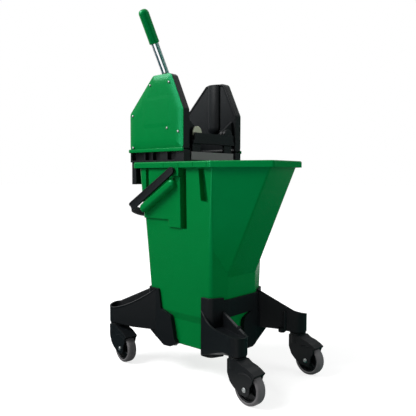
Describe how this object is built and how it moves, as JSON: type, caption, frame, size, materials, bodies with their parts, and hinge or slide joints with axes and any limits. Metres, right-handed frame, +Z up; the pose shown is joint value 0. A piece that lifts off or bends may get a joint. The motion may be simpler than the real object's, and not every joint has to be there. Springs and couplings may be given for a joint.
{
  "type": "mop bucket with wringer",
  "caption": "Tapered plastic mop bucket on swivel castors with a pouring spout, strap handle and a lift-off lever wringer with two hinged jaws.",
  "frame": {"origin": "on the floor, midway between the four castor stems", "axes": "+X towards the pouring spout, -Y towards the side with the lever, +Z up"},
  "size_m": [0.5101, 0.3261, 0.891],
  "materials": {
    "green_plastic": "satin moulded polypropylene",
    "black_plastic": "lightly textured moulding",
    "grey_plastic": "matte moulding",
    "pale_nylon": "natural nylon",
    "grey_tyre": "non-marking grey rubber",
    "bright_tube": "polished",
    "steel": "zinc plated"
  },
  "bodies": {
    "bucket": {"bucket_shell": "green_plastic", "castor_bracket_left": "black_plastic", "castor_bracket_right": "black_plastic", "bracket_screws": "steel", "stem_sockets": "black_plastic"},
    "bail": {"bail_handle": "black_plastic"},
    "wringer": {"wringer_frame": "black_plastic", "drain_grid": "black_plastic", "end_panel": "grey_plastic", "front_pivot_bushes": "pale_nylon", "rear_pivot_bushes": "black_plastic"},
    "front_jaw": {"front_jaw": "black_plastic", "front_cover": "green_plastic", "front_cover_screws": "steel", "front_hinge_pins": "steel", "front_gear_sector": "black_plastic", "lever_tube": "bright_tube", "lever_grip": "green_plastic", "lever_pin": "steel"},
    "rear_jaw": {"rear_jaw": "black_plastic", "rear_cover": "green_plastic", "rear_cover_screws": "steel", "rear_hinge_pins": "steel", "rear_gear_sector": "black_plastic"},
    "castor_front_left": {"castor_fork_front_left": "black_plastic", "castor_stem_front_left": "steel", "castor_axle_front_left": "steel"},
    "wheel_front_left": {"wheel_hub_front_left": "black_plastic", "wheel_tyre_front_left": "grey_tyre"},
    "castor_front_right": {"castor_fork_front_right": "black_plastic", "castor_stem_front_right": "steel", "castor_axle_front_right": "steel"},
    "wheel_front_right": {"wheel_hub_front_right": "black_plastic", "wheel_tyre_front_right": "grey_tyre"},
    "castor_rear_left": {"castor_fork_rear_left": "black_plastic", "castor_stem_rear_left": "steel", "castor_axle_rear_left": "steel"},
    "wheel_rear_left": {"wheel_hub_rear_left": "black_plastic", "wheel_tyre_rear_left": "grey_tyre"},
    "castor_rear_right": {"castor_fork_rear_right": "black_plastic", "castor_stem_rear_right": "steel", "castor_axle_rear_right": "steel"},
    "wheel_rear_right": {"wheel_hub_rear_right": "black_plastic", "wheel_tyre_rear_right": "grey_tyre"}
  },
  "joints": [
    {"name": "bail_swing", "type": "hinge", "parent": "bucket", "child": "bail", "pos_m": [-0.006, 0, 0.507], "axis": [0, 1, 0], "range_deg": [0, 45]},
    {"name": "wringer_lift", "type": "slide", "parent": "bucket", "child": "wringer", "axis": [0, 0, 1], "range_m": [0, 0.12]},
    {"name": "front_jaw_press", "type": "hinge", "parent": "wringer", "child": "front_jaw", "pos_m": [0, -0.06, 0.602], "axis": [-1, 0, 0], "range_deg": [0, 20]},
    {"name": "rear_jaw_press", "type": "hinge", "parent": "wringer", "child": "rear_jaw", "pos_m": [0, 0.06, 0.602], "axis": [-1, 0, 0], "range_deg": [-20, 0]},
    {"name": "swivel_front_left", "type": "hinge", "parent": "bucket", "child": "castor_front_left", "pos_m": [-0.2066, -0.1237, 0.1], "axis": [0, 0, 1], "continuous": true},
    {"name": "spin_front_left", "type": "hinge", "parent": "castor_front_left", "child": "wheel_front_left", "pos_m": [-0.16996, -0.12885, 0.0375], "axis": [0.1392, 0.9903, 0], "continuous": true},
    {"name": "swivel_front_right", "type": "hinge", "parent": "bucket", "child": "castor_front_right", "pos_m": [0.2066, -0.1237, 0.1], "axis": [0, 0, 1], "continuous": true},
    {"name": "spin_front_right", "type": "hinge", "parent": "castor_front_right", "child": "wheel_front_right", "pos_m": [0.24346, -0.12692, 0.0375], "axis": [0.0872, 0.9962, 0], "continuous": true},
    {"name": "swivel_rear_left", "type": "hinge", "parent": "bucket", "child": "castor_rear_left", "pos_m": [-0.2066, 0.1237, 0.1], "axis": [0, 0, 1], "continuous": true},
    {"name": "spin_rear_left", "type": "hinge", "parent": "castor_rear_left", "child": "wheel_rear_left", "pos_m": [-0.16996, 0.11855, 0.0375], "axis": [0.1392, 0.9903, 0], "continuous": true},
    {"name": "swivel_rear_right", "type": "hinge", "parent": "bucket", "child": "castor_rear_right", "pos_m": [0.2066, 0.1237, 0.1], "axis": [0, 0, 1], "continuous": true},
    {"name": "spin_rear_right", "type": "hinge", "parent": "castor_rear_right", "child": "wheel_rear_right", "pos_m": [0.24346, 0.12048, 0.0375], "axis": [0.0872, 0.9962, 0], "continuous": true}
  ],
  "couplings": [
    {"joint": "rear_jaw_press", "follows": "front_jaw_press", "ratio": -1}
  ]
}
